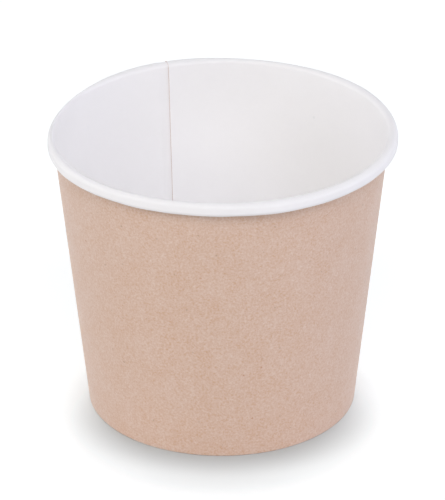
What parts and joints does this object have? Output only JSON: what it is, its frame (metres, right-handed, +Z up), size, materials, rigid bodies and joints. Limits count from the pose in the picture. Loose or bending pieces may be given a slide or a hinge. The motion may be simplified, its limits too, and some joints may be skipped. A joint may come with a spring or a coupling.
{
  "type": "paper soup bowl",
  "caption": "Tapered paper soup bowl with a brown board wall, white lining, lapped side seam, rolled rim and recessed base.",
  "frame": {"origin": "on the bowl's axis, at the level that its foot stands on", "axes": "+Z up along the bowl's axis; the side seam's inner edge is at the back, 19.7 degrees from +Y towards -X"},
  "size_m": [0.098, 0.098, 0.083],
  "materials": {
    "wall_board": "uncoated brown kraft face outside, smooth white coated face inside and over the rolled rim",
    "base_board": "smooth white coated board"
  },
  "bodies": {
    "root": {"side_wall": "wall_board", "base": "base_board"}
  },
  "joints": []
}
